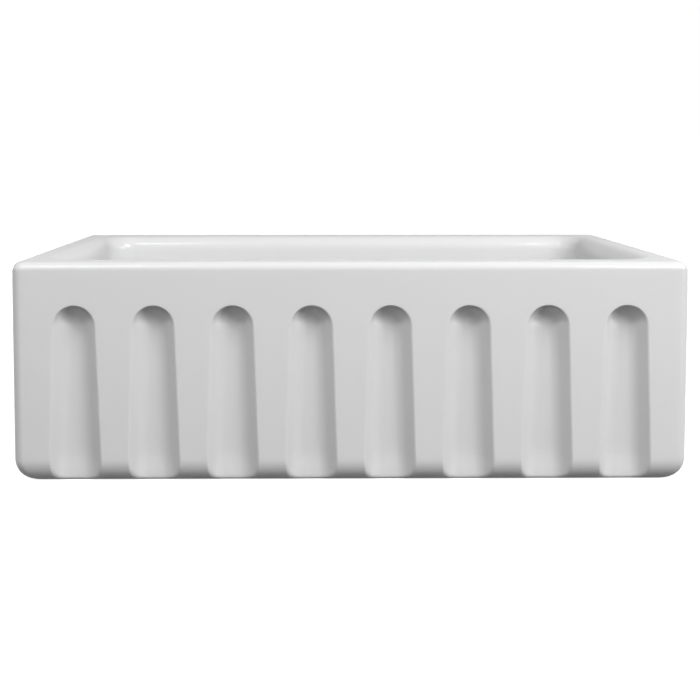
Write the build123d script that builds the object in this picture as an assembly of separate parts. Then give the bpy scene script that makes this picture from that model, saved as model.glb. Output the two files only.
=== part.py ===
from build123d import *

import math
import os

# Fluted apron-front kitchen sink of fireclay, with its basket strainer and tailpiece.
# Millimetres. The origin is on the drain axis in the plane of the underside: X to the right,
# -Y out of the fluted front, +Z up.

# ---- Clay body ----
WIDTH = 760.0
DEPTH = 457.0
HEIGHT = 250.0
SIDE_WALL = 43.0  # rim width at the two sides and the back
CLAY_BEHIND_FLUTES = 34.0
FLOOR_THICKNESS = 14.0  # under the drain seat
FLOOR_FALL = 6.0  # from the foot of the walls to the drain
FALL_MARGIN = 12.0  # level strip between the falling floor and the foot of the walls
BOWL_DRAFT = 1.5  # degrees that the bowl's walls lean in towards the floor
BOWL_CORNER = 36.0
BOWL_FOOT_RADIUS = 24.0
RIM_ROLL = 20.0  # rolled edge between the rim and the bowl
RIM_EDGE = 10.0  # outer edge of the rim
CORNER_RADIUS = 12.0  # upright outer corners
BASE_EDGE = 20.0  # outer edge round the underside
FOOT_WIDTH = 27.0  # level foot between that edge and the recess
RECESS_HEIGHT = 10.0
RECESS_CORNER = 30.0

# ---- Flutes ----
FLUTE_COUNT = 8
FLUTE_MARGIN = 70.25  # from each side of the sink to the centre line of the nearest flute
FLUTE_DEPTH = 14.0
FLUTE_HALF_WIDTH = 25.0  # at the arch's springing line, out to the face
FLUTE_TOP = 48.0  # from the rim down to the crown of each arch
FLUTE_LEAN = 2.0  # degrees that each side opens out downwards
FLUTE_WALL_SLOPE = 50.0  # degrees between a flute's wall and the face
FLUTE_RIDGE_RADIUS = 4.0
FLUTE_FLOOR_RADIUS = 10.0

# ---- Strainer body ----
THREAD_R = 43.9
CUP_WALL = 2.3
SHOULDER_WIDTH = 3.4  # step that carries the basket
SHOULDER_DEPTH = 21.4  # from the flange's top
SUMP_DEPTH = 30.0  # from the step to the cone
SUMP_WALL = 2.4
CONE_DROP = 9.0
CONE_LEDGE = 4.7  # from the cone's foot in to the neck's bore
NECK_WALL = 3.9
NECK_LENGTH = 21.0
FLANGE_WIDTH = 12.6
FLANGE_THICKNESS = 2.2
FLANGE_BEVEL = 1.4
FLANGE_SINK = 0.6  # how far the flange lies under the floor round it
ENTRY_DROP = 4.0  # cone that leads in from the flange
SEAL_THICKNESS = 1.2

# ---- Clamping pieces under the floor ----
GASKET_WIDTH = 13.8
GASKET_THICKNESS = 3.0
FRICTION_THICKNESS = 0.6
LOCKNUT_WIDTH = 10.0
LOCKNUT_THICKNESS = 10.0
LOCKNUT_GAP = 1.0  # held open under the friction washer by the clamp screws
LUG_COUNT = 4
LUG_WIDTH = 12.0
LUG_REACH = 6.0
THREAD_SPARE = 5.0  # thread that shows under the locknut
SCREW_COUNT = 3
SCREW_R = 2.5
SCREW_LENGTH = 16.0
SCREW_HEAD_R = 4.5
SCREW_HEAD_HEIGHT = 3.0
SCREW_SLOT_WIDTH = 1.2

# ---- Waste pipe ----
TAIL_R = 19.05  # inch-and-a-half waste pipe
TAIL_WALL = 1.2
TAIL_LENGTH = 102.0
TAIL_FLANGE_THICKNESS = 1.6
TAIL_RELIEF = 0.35  # how far the pipe is drawn in under its flange
RELIEF_SPARE = 2.0  # drawn-in length that shows under the coupling nut
TAIL_WASHER_THICKNESS = 1.6
COUPLING_WALL = 3.8
COUPLING_LIP = 3.0
COUPLING_GRIP = 15.0
COUPLING_RIBS = 8
RIB_WIDTH = 6.0
RIB_HEIGHT = 2.0

# ---- Basket and stopper ----
BASKET_SHEET = 1.0
BASKET_TAPER = 3.6  # how much narrower the basket is at its floor
FLOOR_HOLE_R = 2.5
FLOOR_HOLE_PITCH = 10.5
FLOOR_HOLE_RINGS = 3
WALL_SLOT_COUNT = 12
WALL_SLOT_WIDTH = 3.0
WALL_SLOT_HEIGHT = 14.0
STOPPER_TRAVEL = 9.0
STOPPER_THICKNESS = 4.5
STOPPER_SEAT = 0.5  # from the cone's foot up to the stopper's underside
STOPPER_LIP = 2.2  # height of the bevelled sealing edge
PLATE_INSET = 5.0  # how much smaller the plate is than the cone's foot
PLATE_THICKNESS = 1.0
STEM_R = 3.25
GROOVE_DEPTH = 0.4
GROOVE_HEIGHT = 1.6
GUIDE_WALL = 2.25
GUIDE_FLANGE = 2.5
GUIDE_HEIGHT = 12.0
DETENT_RISE = 7.2  # from the basket's underside up to the detent ring
RING_WIRE_R = 0.4
RING_GAP = 1.5
KNOB_R = 9.0
KNOB_WAIST_R = 5.4
KNOB_HEIGHT = 10.0
KNOB_RISE = 17.0  # from the guide's top to the knob with the stopper shut
NUT_WALL = 2.75
NUT_HEIGHT = 2.4
STEM_END = 0.6  # how far the stem stands out of its nut

# ---- Clearances ----
HOLE_CLEARANCE = 1.1  # strainer body in the drain hole
SEAT_CLEARANCE = 2.0  # flange in its recess
SEAL_INSET = 0.5
THREAD_CLEARANCE = 0.05
SLIDE_CLEARANCE = 0.05
SLIP_CLEARANCE = 0.3
BASKET_CLEARANCE = 0.9  # basket's rim in the cup
SUMP_CLEARANCE = 1.6  # basket's wall in the sump
STOPPER_CLEARANCE = 0.3
RING_CLEARANCE = 0.1
TAIL_CLEARANCE = 0.25
FLANGE_CLEARANCE = 0.6  # tailpiece's flange in the coupling nut

# ---- Derived radii ----
DRAIN_HOLE_R = THREAD_R + HOLE_CLEARANCE
FLANGE_R = THREAD_R + FLANGE_WIDTH
SEAT_R = FLANGE_R + SEAT_CLEARANCE
CUP_BORE_R = THREAD_R - CUP_WALL
SUMP_BORE_R = CUP_BORE_R - SHOULDER_WIDTH
NECK_BORE_R = TAIL_R + TAIL_CLEARANCE
NECK_R = NECK_BORE_R + NECK_WALL
CONE_FOOT_R = NECK_BORE_R + CONE_LEDGE
GASKET_R = THREAD_R + SLIP_CLEARANCE + GASKET_WIDTH
LOCKNUT_R = THREAD_R + THREAD_CLEARANCE + LOCKNUT_WIDTH
TAIL_FLANGE_R = NECK_R - FLANGE_CLEARANCE
COUPLING_R = NECK_R + COUPLING_WALL
BASKET_RIM_R = CUP_BORE_R - BASKET_CLEARANCE
BASKET_TOP_R = SUMP_BORE_R - SUMP_CLEARANCE
BASKET_FOOT_R = BASKET_TOP_R - BASKET_TAPER
GUIDE_R = STEM_R + SLIDE_CLEARANCE + GUIDE_WALL
GUIDE_HOLE_R = GUIDE_R - GUIDE_WALL / 4
PLATE_R = CONE_FOOT_R - PLATE_INSET

# ---- Derived levels ----
SEAT_Z = RECESS_HEIGHT + FLOOR_THICKNESS
FLANGE_Z = SEAT_Z + SEAL_THICKNESS
FLANGE_TOP_Z = FLANGE_Z + FLANGE_THICKNESS
DRAIN_LIP_Z = FLANGE_TOP_Z + FLANGE_SINK
BOWL_FLOOR_Z = DRAIN_LIP_Z + FLOOR_FALL
SHOULDER_Z = FLANGE_TOP_Z - SHOULDER_DEPTH
SUMP_FOOT_Z = SHOULDER_Z - SUMP_DEPTH
CONE_FOOT_Z = SUMP_FOOT_Z - CONE_DROP
NECK_FOOT_Z = CONE_FOOT_Z - NECK_LENGTH
GASKET_Z = RECESS_HEIGHT - GASKET_THICKNESS
FRICTION_Z = GASKET_Z - FRICTION_THICKNESS
LOCKNUT_TOP_Z = FRICTION_Z - LOCKNUT_GAP
LOCKNUT_Z = LOCKNUT_TOP_Z - LOCKNUT_THICKNESS
TAIL_WASHER_Z = NECK_FOOT_Z - TAIL_WASHER_THICKNESS
TAIL_FLANGE_Z = TAIL_WASHER_Z - TAIL_FLANGE_THICKNESS
TAIL_FOOT_Z = TAIL_WASHER_Z - TAIL_LENGTH
COUPLING_Z = TAIL_FLANGE_Z - COUPLING_LIP
RELIEF_Z = COUPLING_Z - RELIEF_SPARE
STOPPER_Z = CONE_FOOT_Z + STOPPER_SEAT
STOPPER_TOP_Z = STOPPER_Z + STOPPER_THICKNESS
PLATE_TOP_Z = STOPPER_TOP_Z + PLATE_THICKNESS
BASKET_FLOOR_Z = PLATE_TOP_Z + STOPPER_TRAVEL
DETENT_Z = BASKET_FLOOR_Z + DETENT_RISE
GUIDE_TOP_Z = BASKET_FLOOR_Z + GUIDE_HEIGHT
KNOB_Z = GUIDE_TOP_Z + KNOB_RISE
NUT_Z = STOPPER_Z - NUT_HEIGHT

# ---- Derived sizes of the clay body ----
FRONT_WALL = FLUTE_DEPTH + CLAY_BEHIND_FLUTES
BOWL_WIDTH = WIDTH - 2 * SIDE_WALL
BOWL_LENGTH = DEPTH - SIDE_WALL - FRONT_WALL
BOWL_CENTRE_Y = (FRONT_WALL - SIDE_WALL) / 2
FLUTE_PITCH = (WIDTH - 2 * FLUTE_MARGIN) / (FLUTE_COUNT - 1)
RECESS_INSET = BASE_EDGE + FOOT_WIDTH

STAND = (Align.CENTER, Align.CENTER, Align.MIN)  # centred in plan, standing on its level


def disc(radius, low, high):
    """Solid cylinder on the drain axis."""
    return Pos(0, 0, low) * Cylinder(radius, high - low, align=STAND)


def ring(inner, outer, low, high):
    """Flat ring or tube round the drain axis."""
    return disc(outer, low, high) - disc(inner, low, high)


def turned(points):
    """Solid turned round the drain axis from a closed outline of (radius, height) points."""
    outline = make_face(Polyline(*[(r, 0, z) for r, z in points], close=True))
    return revolve(outline, Axis.Z)


def rounded_block(width, depth, low, high, corner):
    """Upright block with rounded upright corners, centred on the drain axis."""
    outline = RectangleRounded(width, depth, corner)
    return Pos(0, 0, low) * extrude(outline, high - low)


# ---- Clay body ----
def flute_half_profile(inner):
    """One side of a flute's section as a closed face: X from inner outwards, Y into the clay.

    The eased edges at the ridge and at the floor are flats at half the slope of the wall.
    """
    slope = math.radians(FLUTE_WALL_SLOPE)
    rise = 1 - math.cos(slope)
    wall_depth = FLUTE_DEPTH - (FLUTE_RIDGE_RADIUS + FLUTE_FLOOR_RADIUS) * rise
    ridge_foot = FLUTE_HALF_WIDTH - FLUTE_RIDGE_RADIUS * math.sin(slope)
    wall_foot = ridge_foot - wall_depth / math.tan(slope)
    floor_half = wall_foot - FLUTE_FLOOR_RADIUS * math.sin(slope)
    clear = 3.0  # how far the cutter stands out of the face
    outline = Polyline(
        (inner, -clear),
        (inner, FLUTE_DEPTH),
        (floor_half, FLUTE_DEPTH),
        (wall_foot, FLUTE_DEPTH - FLUTE_FLOOR_RADIUS * rise),
        (ridge_foot, FLUTE_RIDGE_RADIUS * rise),
        (FLUTE_HALF_WIDTH + clear / math.tan(slope / 2), -clear),
        close=True,
    )
    return make_face(outline)


def flute_cutter():
    """One flute as a solid: a half-round arch over two sides that open out downwards."""
    springing = HEIGHT - FLUTE_TOP - FLUTE_HALF_WIDTH
    place = Pos(0, -DEPTH / 2, springing)
    lean = math.radians(FLUTE_LEAN)
    reach = springing + 10.0  # past the underside
    overlap = reach * math.tan(lean) + 1.0  # past the centre line, so that the sides join
    down = Vector(math.sin(lean), 0, -math.cos(lean))
    right = extrude(place * flute_half_profile(-overlap), reach / math.cos(lean), dir=down)
    arch = revolve(place * flute_half_profile(0), Axis((0, 0, springing), (0, -1, 0)), 180)
    return right + mirror(right, Plane.YZ) + arch


def bowl_cutter():
    """The space inside the bowl, with leaning walls and a rounded foot."""
    depth = HEIGHT - BOWL_FLOOR_Z
    opening = RectangleRounded(BOWL_WIDTH, BOWL_LENGTH, BOWL_CORNER)
    space = extrude(opening, depth, dir=(0, 0, -1), taper=BOWL_DRAFT)
    corner_at_foot = BOWL_CORNER - depth * math.tan(math.radians(BOWL_DRAFT))
    foot = min(BOWL_FOOT_RADIUS, corner_at_foot - 1.0)
    space = fillet(space.edges().group_by(Axis.Z)[0], foot)
    return Pos(0, BOWL_CENTRE_Y, HEIGHT) * space


def floor_fall():
    """Shallow cone that drains the floor towards the strainer."""
    reach = BOWL_LENGTH / 2 - BOWL_CENTRE_Y - BOWL_FOOT_RADIUS - FALL_MARGIN
    outline = [
        (0, DRAIN_LIP_Z),
        (SEAT_R, DRAIN_LIP_Z),
        (reach, BOWL_FLOOR_Z),
        (0, BOWL_FLOOR_Z),
    ]
    return turned(outline)


def sink_body():
    """Clay body: walls, rim, bowl, drain seat, flutes and the recess under the floor."""
    body = rounded_block(WIDTH, DEPTH, 0, HEIGHT, CORNER_RADIUS)
    body = fillet(body.edges().group_by(Axis.Z)[-1], RIM_EDGE)
    body = fillet(body.edges().group_by(Axis.Z)[0], BASE_EDGE)
    body -= bowl_cutter()
    rim_inner = body.faces().sort_by(Axis.Z)[-1].inner_wires()[0]
    body = fillet(rim_inner.edges(), RIM_ROLL)
    body -= floor_fall()
    body -= disc(SEAT_R, SEAT_Z, BOWL_FLOOR_Z)
    body -= disc(DRAIN_HOLE_R, 0, BOWL_FLOOR_Z)
    recess_width = WIDTH - 2 * RECESS_INSET
    recess_depth = DEPTH - 2 * RECESS_INSET
    body -= rounded_block(recess_width, recess_depth, 0, RECESS_HEIGHT, RECESS_CORNER)
    cutter = flute_cutter()
    for index in range(FLUTE_COUNT):
        body -= Pos((index - (FLUTE_COUNT - 1) / 2) * FLUTE_PITCH, 0, 0) * cutter
    return body


# ---- Strainer body and what clamps it ----
def strainer_body():
    """Flanged cup that passes down through the clay, with a cone and a neck for the waste."""
    sump_outer = SUMP_BORE_R + SUMP_WALL
    thread_foot = LOCKNUT_Z - THREAD_SPARE
    neck_top = CONE_FOOT_Z - SUMP_WALL
    outline = [
        (FLANGE_R, FLANGE_Z),
        (FLANGE_R - FLANGE_BEVEL, FLANGE_TOP_Z),
        (CUP_BORE_R + ENTRY_DROP, FLANGE_TOP_Z),
        (CUP_BORE_R, FLANGE_TOP_Z - ENTRY_DROP),
        (CUP_BORE_R, SHOULDER_Z),
        (SUMP_BORE_R, SHOULDER_Z),
        (SUMP_BORE_R, SUMP_FOOT_Z),
        (CONE_FOOT_R, CONE_FOOT_Z),
        (NECK_BORE_R, neck_top),
        (NECK_BORE_R, NECK_FOOT_Z),
        (NECK_R, NECK_FOOT_Z),
        (NECK_R, neck_top - SUMP_WALL),
        (sump_outer, SUMP_FOOT_Z - SUMP_WALL),
        (sump_outer, thread_foot),
        (THREAD_R, thread_foot),
        (THREAD_R, FLANGE_Z),
    ]
    return turned(outline)


def flange_seal():
    """Putty bedded between the clay seat and the flange."""
    return ring(DRAIN_HOLE_R + SEAL_INSET, FLANGE_R - SEAL_INSET, SEAT_Z, FLANGE_Z)


def rubber_gasket():
    """Flat gasket against the clay's underside."""
    return ring(THREAD_R + SLIP_CLEARANCE, GASKET_R, GASKET_Z, RECESS_HEIGHT)


def friction_washer():
    """Thin fibre washer that the clamp screws press on."""
    return ring(THREAD_R + SLIP_CLEARANCE, GASKET_R, FRICTION_Z, GASKET_Z)


def screw_places():
    """Places of the clamp screws round the locknut, between its lugs."""
    return PolarLocations((THREAD_R + LOCKNUT_R) / 2, SCREW_COUNT, start_angle=90)


def locknut():
    """Nut on the cup's thread, with lugs for a spanner and tapped holes for the clamp screws."""
    nut = ring(THREAD_R + THREAD_CLEARANCE, LOCKNUT_R, LOCKNUT_Z, LOCKNUT_TOP_Z)
    sunk = LOCKNUT_WIDTH / 2  # how far a lug is let into the ring
    lug = Pos(LOCKNUT_R + (LUG_REACH - sunk) / 2, 0, LOCKNUT_Z) * Box(
        LUG_REACH + sunk, LUG_WIDTH, LOCKNUT_THICKNESS, align=STAND
    )
    for turn in PolarLocations(0, LUG_COUNT, start_angle=45):
        nut += turn * lug
    hole = disc(SCREW_R + THREAD_CLEARANCE, LOCKNUT_Z, LOCKNUT_TOP_Z)
    return nut - [place * hole for place in screw_places()]


def clamp_screws():
    """Screws through the locknut that press the friction washer up against the gasket."""
    head_top = FRICTION_Z - SCREW_LENGTH
    head_foot = head_top - SCREW_HEAD_HEIGHT
    screw = disc(SCREW_R, head_top, FRICTION_Z) + disc(SCREW_HEAD_R, head_foot, head_top)
    screw -= Pos(0, 0, head_foot) * Box(2 * SCREW_HEAD_R, SCREW_SLOT_WIDTH, SCREW_HEAD_HEIGHT)
    return [place * screw for place in screw_places()]


# ---- Waste pipe ----
def tailpiece_washer():
    """Flat washer between the neck and the tailpiece's flange."""
    return ring(TAIL_R, TAIL_FLANGE_R, TAIL_WASHER_Z, NECK_FOOT_Z)


def tailpiece():
    """Flanged waste pipe that hangs from the coupling nut."""
    bore = TAIL_R - TAIL_WALL
    outline = [
        (bore, TAIL_FOOT_Z),
        (TAIL_R, TAIL_FOOT_Z),
        (TAIL_R, RELIEF_Z),
        (TAIL_R - TAIL_RELIEF, RELIEF_Z),
        (TAIL_R - TAIL_RELIEF, TAIL_FLANGE_Z),
        (TAIL_FLANGE_R, TAIL_FLANGE_Z),
        (TAIL_FLANGE_R, TAIL_WASHER_Z),
        (bore, TAIL_WASHER_Z),
    ]
    return turned(outline)


def coupling_nut():
    """Nut that draws the tailpiece's flange up against the neck, with ribs for the hand."""
    height = NECK_FOOT_Z + COUPLING_GRIP - COUPLING_Z
    nut = disc(COUPLING_R, COUPLING_Z, COUPLING_Z + height)
    rib = Pos(COUPLING_R, 0, COUPLING_Z) * Box(2 * RIB_HEIGHT, RIB_WIDTH, height, align=STAND)
    for turn in PolarLocations(0, COUPLING_RIBS):
        nut += turn * rib
    nut -= disc(TAIL_R + SLIP_CLEARANCE, COUPLING_Z, COUPLING_Z + height)
    return nut - disc(NECK_R + THREAD_CLEARANCE, TAIL_FLANGE_Z, COUPLING_Z + height)


# ---- Basket ----
def basket_cup():
    """Pressed cup with a resting rim, holes in its floor, slots in its wall and a guide hole."""
    low = BASKET_FLOOR_Z
    sheet = BASKET_SHEET
    bend = 1.5 * sheet
    outline = [
        (GUIDE_HOLE_R, low),
        (BASKET_FOOT_R - bend, low),
        (BASKET_FOOT_R, low + bend),
        (BASKET_TOP_R, SHOULDER_Z),
        (BASKET_RIM_R, SHOULDER_Z),
        (BASKET_RIM_R, SHOULDER_Z + sheet),
        (BASKET_TOP_R - sheet, SHOULDER_Z + sheet),
        (BASKET_FOOT_R - sheet, low + sheet),
        (GUIDE_HOLE_R, low + sheet),
    ]
    cup = turned(outline)
    hole = Pos(0, 0, low) * extrude(RegularPolygon(FLOOR_HOLE_R, 6), 2 * sheet, both=True)
    first = GUIDE_R + GUIDE_FLANGE
    band = (BASKET_FOOT_R - bend - first) / FLOOR_HOLE_RINGS
    for index in range(FLOOR_HOLE_RINGS):
        radius = first + (index + 0.5) * band
        count = int(2 * math.pi * radius / FLOOR_HOLE_PITCH)
        cup -= [place * hole for place in PolarLocations(radius, count)]
    slot_z = (low + SHOULDER_Z) / 2
    slot = Pos(BASKET_FOOT_R, 0, slot_z) * Box(12 * sheet, WALL_SLOT_WIDTH, WALL_SLOT_HEIGHT)
    return cup - [turn * slot for turn in PolarLocations(0, WALL_SLOT_COUNT)]


def stem_guide():
    """Flanged bush crimped into the basket's floor, with a groove inside for the detent ring."""
    bore = STEM_R + SLIDE_CLEARANCE
    groove = bore + GUIDE_WALL / 2
    floor_top = BASKET_FLOOR_Z + BASKET_SHEET
    flange_top = floor_top + BASKET_SHEET
    outline = [
        (bore, BASKET_FLOOR_Z),
        (GUIDE_HOLE_R, BASKET_FLOOR_Z),
        (GUIDE_HOLE_R, floor_top),
        (GUIDE_R + GUIDE_FLANGE, floor_top),
        (GUIDE_R + GUIDE_FLANGE, flange_top),
        (GUIDE_R, flange_top),
        (GUIDE_R, GUIDE_TOP_Z),
        (bore, GUIDE_TOP_Z),
        (bore, DETENT_Z + RING_WIRE_R + RING_CLEARANCE),
        (groove, DETENT_Z + RING_WIRE_R + RING_CLEARANCE),
        (groove, DETENT_Z - RING_WIRE_R - RING_CLEARANCE),
        (bore, DETENT_Z - RING_WIRE_R - RING_CLEARANCE),
    ]
    return turned(outline)


def detent_ring():
    """Split spring ring in the guide that clicks into the stem's grooves."""
    inner = STEM_R + RING_CLEARANCE
    outer = inner + 2 * RING_WIRE_R
    hoop = ring(inner, outer, DETENT_Z - RING_WIRE_R, DETENT_Z + RING_WIRE_R)
    gap = Pos(inner, 0, DETENT_Z) * Box(8 * RING_WIRE_R, RING_GAP, 4 * RING_WIRE_R)
    return hoop - gap


# ---- Stopper and what moves it ----
def stem():
    """Rod that joins the knob to the stopper, with a groove for each resting height."""
    foot = NUT_Z - STEM_END
    top = KNOB_Z + KNOB_HEIGHT / 2
    neck = STEM_R - GROOVE_DEPTH
    outline = [(0, foot), (STEM_R, foot)]
    for level in (DETENT_Z - STOPPER_TRAVEL, DETENT_Z):
        low = level - GROOVE_HEIGHT / 2
        high = level + GROOVE_HEIGHT / 2
        outline += [(STEM_R, low), (neck, low), (neck, high), (STEM_R, high)]
    outline += [(STEM_R, top), (0, top)]
    return turned(outline)


def knob():
    """Round knob with a narrow waist, bored to take the stem."""
    top = KNOB_Z + KNOB_HEIGHT
    rim = KNOB_Z + KNOB_HEIGHT / 2
    outline = [
        (0, rim),
        (STEM_R, rim),
        (STEM_R, KNOB_Z),
        (KNOB_WAIST_R, KNOB_Z),
        (KNOB_R, rim),
        (KNOB_R, rim + KNOB_HEIGHT / 5),
        ((KNOB_R + KNOB_WAIST_R) / 2, top),
        (0, top),
    ]
    return turned(outline)


def stopper_plate():
    """Washer that backs the rubber."""
    return ring(STEM_R, PLATE_R, STOPPER_TOP_Z, PLATE_TOP_Z)


def stopper():
    """Rubber disc whose bevelled edge shuts on the cone of the strainer body."""
    slope = CONE_DROP / (SUMP_BORE_R - CONE_FOOT_R)
    lift = STOPPER_CLEARANCE * math.sqrt(1 + slope**2)

    def cone_radius(level):
        """Radius at a level of the cone that lies the clearance inside the body's cone."""
        return CONE_FOOT_R + (level - lift - CONE_FOOT_Z) / slope

    outline = [
        (STEM_R, STOPPER_Z),
        (cone_radius(STOPPER_Z), STOPPER_Z),
        (cone_radius(STOPPER_Z + STOPPER_LIP), STOPPER_Z + STOPPER_LIP),
        (PLATE_R, STOPPER_TOP_Z),
        (STEM_R, STOPPER_TOP_Z),
    ]
    return turned(outline)


def stem_nut():
    """Hexagon nut that clamps the stopper against its plate."""
    hexagon = RegularPolygon(STEM_R + NUT_WALL, 6)
    nut = Pos(0, 0, NUT_Z) * extrude(hexagon, NUT_HEIGHT)
    return nut - disc(STEM_R, NUT_Z, STOPPER_Z)


PIECES = (
    sink_body,
    flange_seal,
    strainer_body,
    rubber_gasket,
    friction_washer,
    locknut,
    clamp_screws,
    tailpiece_washer,
    tailpiece,
    coupling_nut,
    basket_cup,
    stem_guide,
    detent_ring,
    stem,
    knob,
    stopper_plate,
    stopper,
    stem_nut,
)

os.makedirs("parts", exist_ok=True)
for piece in PIECES:
    shape = piece()
    if isinstance(shape, list):
        shape = Compound(children=shape)
    export_step(shape, f"parts/{piece.__name__}.step")
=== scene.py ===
"""Looks of a fluted apron-front kitchen sink of white fireclay, with its strainer and waste."""

import logging
import math
from dataclasses import dataclass, field
from enum import Enum

import bmesh
import bpy
import numpy as np
from mathutils import Euler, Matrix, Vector


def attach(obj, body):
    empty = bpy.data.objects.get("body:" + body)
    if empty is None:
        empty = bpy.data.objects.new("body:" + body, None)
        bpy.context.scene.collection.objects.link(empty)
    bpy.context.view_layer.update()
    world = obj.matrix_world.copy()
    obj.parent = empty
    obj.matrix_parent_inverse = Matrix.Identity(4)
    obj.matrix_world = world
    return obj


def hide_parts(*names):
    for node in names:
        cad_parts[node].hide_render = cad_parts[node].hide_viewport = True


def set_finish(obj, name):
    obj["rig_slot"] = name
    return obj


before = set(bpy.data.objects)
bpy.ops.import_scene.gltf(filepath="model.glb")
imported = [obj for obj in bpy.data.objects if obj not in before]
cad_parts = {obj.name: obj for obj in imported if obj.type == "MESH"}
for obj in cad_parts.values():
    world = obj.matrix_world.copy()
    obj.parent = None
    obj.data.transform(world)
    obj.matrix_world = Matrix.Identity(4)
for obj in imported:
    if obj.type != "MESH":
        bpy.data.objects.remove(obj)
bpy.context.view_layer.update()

LOG = logging.getLogger("sink")
MM = 0.001
# Keeps a divisor from nil, and the millimetres within which points are welded.
TINY = 1e-9
WELD = 0.008

Array = np.ndarray
Tree, Node, Socket = bpy.types.NodeTree, bpy.types.Node, bpy.types.NodeSocket
Object, Material = bpy.types.Object, bpy.types.Material
Pair, Triple = tuple[float, float], tuple[float, float, float]
Corners, Colour, Lugs = list[Triple], Triple, tuple[int, float, float, float]


class Body(Enum):
    """The moving bodies of the sink."""

    SINK = "sink"
    BASKET = "basket"
    PLUG = "plug"


# ---------------------------------------------------------------- surfaces
def steps(start: float, end: float, count: int) -> Array:
    """Evenly spaced numbers from start to end, with count steps between them."""
    return np.linspace(start, end, count + 1)


def around(count: int) -> Array:
    """Angles of count columns spread evenly round an axis, in radians."""
    return np.linspace(0.0, 2.0 * np.pi, count, endpoint=False)


def soft_step(value: Array, low: float, high: float) -> Array:
    """Smooth ramp: 3t^2 - 2t^3 of the clamped share t of the way from low to high."""
    share = np.clip((value - low) / (high - low), 0.0, 1.0)
    return share * share * (3.0 - 2.0 * share)


def soft_max(first: Array, second: Array, reach: float) -> Array:
    """Larger of two depths, with the crossing eased by a parabola.

    The parabola adds h^2 / 4k, where k is the reach, capped at twice the smaller depth so that
    nothing changes where one depth is nil, and h = k - |first - second| where that is positive.

    Args:
        first: One depth.
        second: The other depth.
        reach: How far from the crossing the easing starts.

    Returns:
        The eased larger depth.
    """
    span = np.minimum(reach, 2.0 * np.maximum(np.minimum(first, second), TINY))
    lap = np.maximum(span - np.abs(first - second), 0.0)
    return np.maximum(first, second) + lap * lap / (4.0 * span)


def rounded(points: Corners, count: int = 5) -> Array:
    """Open profile whose corners are rounded.

    Each corner is a quadratic curve between the two points that lie its radius away from it,
    along the runs before and after, which leaves the profile smooth. A radius of nil keeps the
    corner sharp.

    Args:
        points: (across, height, radius) of each corner; the two ends have no use for a radius.
        count: Steps in each rounded corner.

    Returns:
        An array of (across, height) points.
    """
    corners = np.array(points, float)
    made = [corners[:1, :2]]
    for before, here, after in zip(corners[:-2], corners[1:-1], corners[2:]):
        back, ahead = before[:2] - here[:2], after[:2] - here[:2]
        back_length, ahead_length = np.linalg.norm(back), np.linalg.norm(ahead)
        reach = min(here[2], 0.49 * back_length, 0.49 * ahead_length)
        if reach <= 0.0:
            made.append(here[None, :2])
            continue
        first = here[:2] + back / back_length * reach
        last = here[:2] + ahead / ahead_length * reach
        t = steps(0.0, 1.0, count)[:, None]
        made.append((1 - t) ** 2 * first + 2 * t * (1 - t) * here[:2] + t * t * last)
    made.append(corners[-1:, :2])
    return np.concatenate(made)


def turned(radius: Array, height: Array, turn: Array) -> Array:
    """Surface round the upright axis: x = radius cos(turn), y = radius sin(turn), z = height.

    Args:
        radius: Column of the rows' radii, or a grid with one for each angle.
        height: Column of the rows' heights.
        turn: Angles round the axis.

    Returns:
        Grid of rows x angles x 3, to be added closed.
    """
    x, y, z = np.broadcast_arrays(radius * np.cos(turn), radius * np.sin(turn), height)
    return np.stack([x, y, z], -1)


def between(first: Array, last: Array, shares: tuple[float, ...]) -> Array:
    """Rings at some shares of the way from one ring to another."""
    share = np.array(shares)[:, None, None]
    return first * (1 - share) + last * share


def to_circle(ring: Array, radius: float, share: Array) -> tuple[Array, Array]:
    """Straight lines from a ring's points in to a circle about the origin.

    Args:
        ring: The ring's points.
        radius: Radius of the circle.
        share: Column of the rows' shares of the way.

    Returns:
        X and Y of the points, rows x columns.
    """
    turn = np.arctan2(ring[:, 1], ring[:, 0])
    x = ring[:, 0] * (1 - share) + radius * np.cos(turn) * share
    y = ring[:, 1] * (1 - share) + radius * np.sin(turn) * share
    return x, y


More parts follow.
